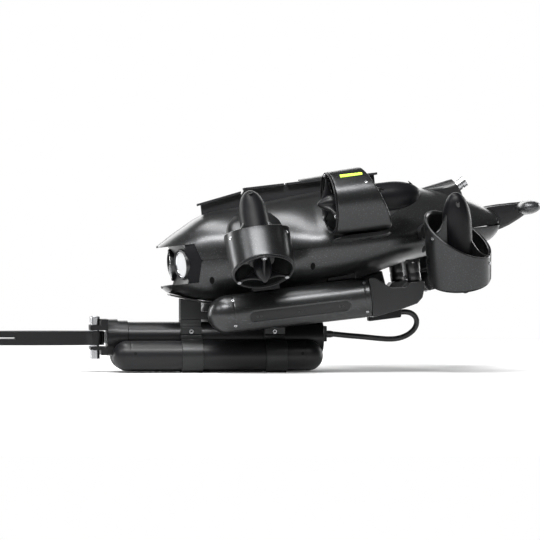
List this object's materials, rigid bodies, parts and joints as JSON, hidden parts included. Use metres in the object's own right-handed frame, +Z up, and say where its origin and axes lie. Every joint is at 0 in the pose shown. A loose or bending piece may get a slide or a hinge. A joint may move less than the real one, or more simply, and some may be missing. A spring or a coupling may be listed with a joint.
{
  "type": "underwater drone",
  "caption": "Low graphite hull with ducted thrusters, camera nose, top accessory rail, slung battery packs and a two-jaw gripper arm with float tubes underneath.",
  "frame": {"origin": "on the floor under the middle of the bounding box", "axes": "nose towards -X, its left side towards -Y, +Z up"},
  "size_m": [0.6399, 0.337, 0.2213],
  "materials": {
    "hull_graphite": "satin metallic graphite coat",
    "matte_black": "fine matte texture",
    "clear_dome": "polished",
    "camera_dark": "dark lens and barrel",
    "lamp_white": "milky diffuser",
    "satin_grey": "satin grey",
    "bright_steel": "turned",
    "light_green": "lit strip",
    "anodised_tube": "anodised",
    "board_green": "solder mask",
    "ballast_steel": "rough machined",
    "propeller_black": "moulded",
    "motor_copper": "potted copper winding",
    "battery_graphite": "satin graphite anodised",
    "cell_blue": "sleeved cells",
    "arm_black": "satin black anodised",
    "jaw_metal": "hard anodised",
    "float_black": "satin black",
    "clamp_grey": "dark satin anodised",
    "lead_rubber": "smooth black jacket"
  },
  "bodies": {
    "vehicle": {"upper_shell": "hull_graphite", "lower_shell": "hull_graphite", "nose_bezel": "matte_black", "camera_dome": "clear_dome", "camera_module": "camera_dark", "lamp_lenses": "lamp_white", "top_rail": "matte_black", "tail_handle": "satin_grey", "tether_housing": "matte_black", "tether_connector": "bright_steel", "status_lights": "light_green", "electronics_tube": "anodised_tube", "main_board": "board_green", "chin_plate": "matte_black", "screws": "bright_steel", "ballast_weights": "ballast_steel", "battery_cradles": "matte_black", "duct_front_left": "hull_graphite", "duct_front_right": "hull_graphite", "duct_middle_left": "hull_graphite", "duct_middle_right": "hull_graphite", "duct_rear_left": "hull_graphite", "duct_rear_right": "hull_graphite", "pod_front_left": "matte_black", "pod_front_right": "matte_black", "pod_middle_left": "matte_black", "pod_middle_right": "matte_black", "pod_rear_left": "matte_black", "pod_rear_right": "matte_black", "propeller_guards": "matte_black", "motor_stators": "motor_copper", "actuator_tube": "arm_black", "gripper_head": "arm_black", "gripper_motor": "ballast_steel", "float_tubes": "float_black", "clamp_bands": "clamp_grey", "arm_bracket": "clamp_grey", "keel_adapter": "matte_black", "pivot_pins": "bright_steel", "arm_plug": "matte_black", "cable_gland": "lead_rubber", "arm_cable": "lead_rubber"},
    "propeller_front_left": {"propeller_front_left": "propeller_black"},
    "propeller_front_right": {"propeller_front_right": "propeller_black"},
    "propeller_middle_left": {"propeller_middle_left": "propeller_black"},
    "propeller_middle_right": {"propeller_middle_right": "propeller_black"},
    "propeller_rear_left": {"propeller_rear_left": "propeller_black"},
    "propeller_rear_right": {"propeller_rear_right": "propeller_black"},
    "battery_left": {"battery_case_left": "battery_graphite", "battery_cells_left": "cell_blue", "battery_handle_left": "matte_black"},
    "lock_knob_left": {"lock_knob_left": "matte_black"},
    "jaw_left": {"jaw_left": "jaw_metal"},
    "battery_right": {"battery_case_right": "battery_graphite", "battery_cells_right": "cell_blue", "battery_handle_right": "matte_black"},
    "lock_knob_right": {"lock_knob_right": "matte_black"},
    "jaw_right": {"jaw_right": "jaw_metal"},
    "drive_rack": {"drive_rack": "bright_steel"}
  },
  "joints": [
    {"name": "spin_front_left", "type": "hinge", "parent": "vehicle", "child": "propeller_front_left", "pos_m": [-0.0014, -0.12973, 0.12581], "axis": [-0.1015, 0.515, 0.8511], "continuous": true},
    {"name": "spin_front_right", "type": "hinge", "parent": "vehicle", "child": "propeller_front_right", "pos_m": [-0.0014, 0.12973, 0.12581], "axis": [-0.1015, -0.515, 0.8511], "continuous": true},
    {"name": "spin_middle_left", "type": "hinge", "parent": "vehicle", "child": "propeller_middle_left", "pos_m": [0.09115, -0.11781, 0.18465], "axis": [0.9856, 0.1219, 0.1175], "continuous": true},
    {"name": "spin_middle_right", "type": "hinge", "parent": "vehicle", "child": "propeller_middle_right", "pos_m": [0.09115, 0.11781, 0.18465], "axis": [0.9856, -0.1219, 0.1175], "continuous": true},
    {"name": "spin_rear_left", "type": "hinge", "parent": "vehicle", "child": "propeller_rear_left", "pos_m": [0.21304, -0.11474, 0.11791], "axis": [-0.1098, -0.3746, 0.9207], "continuous": true},
    {"name": "spin_rear_right", "type": "hinge", "parent": "vehicle", "child": "propeller_rear_right", "pos_m": [0.21304, 0.11474, 0.11791], "axis": [-0.1098, 0.3746, 0.9207], "continuous": true},
    {"name": "battery_release_left", "type": "slide", "parent": "vehicle", "child": "battery_left", "axis": [0.1184, 0, -0.993], "range_m": [0, 0.02]},
    {"name": "lock_turn_left", "type": "hinge", "parent": "battery_left", "child": "lock_knob_left", "pos_m": [0.17236, -0.064, 0.10431], "axis": [-0.1184, 0, 0.993], "range_deg": [0, 90]},
    {"name": "battery_release_right", "type": "slide", "parent": "vehicle", "child": "battery_right", "axis": [0.1184, 0, -0.993], "range_m": [0, 0.02]},
    {"name": "lock_turn_right", "type": "hinge", "parent": "battery_right", "child": "lock_knob_right", "pos_m": [0.17236, 0.064, 0.10431], "axis": [-0.1184, 0, 0.993], "range_deg": [0, 90]},
    {"name": "jaw_open_left", "type": "hinge", "parent": "vehicle", "child": "jaw_left", "pos_m": [-0.1707, -0.013, 0.038], "axis": [0, 0, 1], "range_deg": [0, 40]},
    {"name": "jaw_open_right", "type": "hinge", "parent": "vehicle", "child": "jaw_right", "pos_m": [-0.1707, 0.013, 0.038], "axis": [0, 0, 1], "range_deg": [-40, 0]},
    {"name": "rack_travel", "type": "slide", "parent": "vehicle", "child": "drive_rack", "axis": [-1, 0, 0], "range_m": [0, 0.0063]}
  ],
  "couplings": [
    {"joint": "jaw_open_right", "follows": "jaw_open_left", "ratio": -1},
    {"joint": "rack_travel", "follows": "jaw_open_left", "m_per_rad": 0.009}
  ]
}
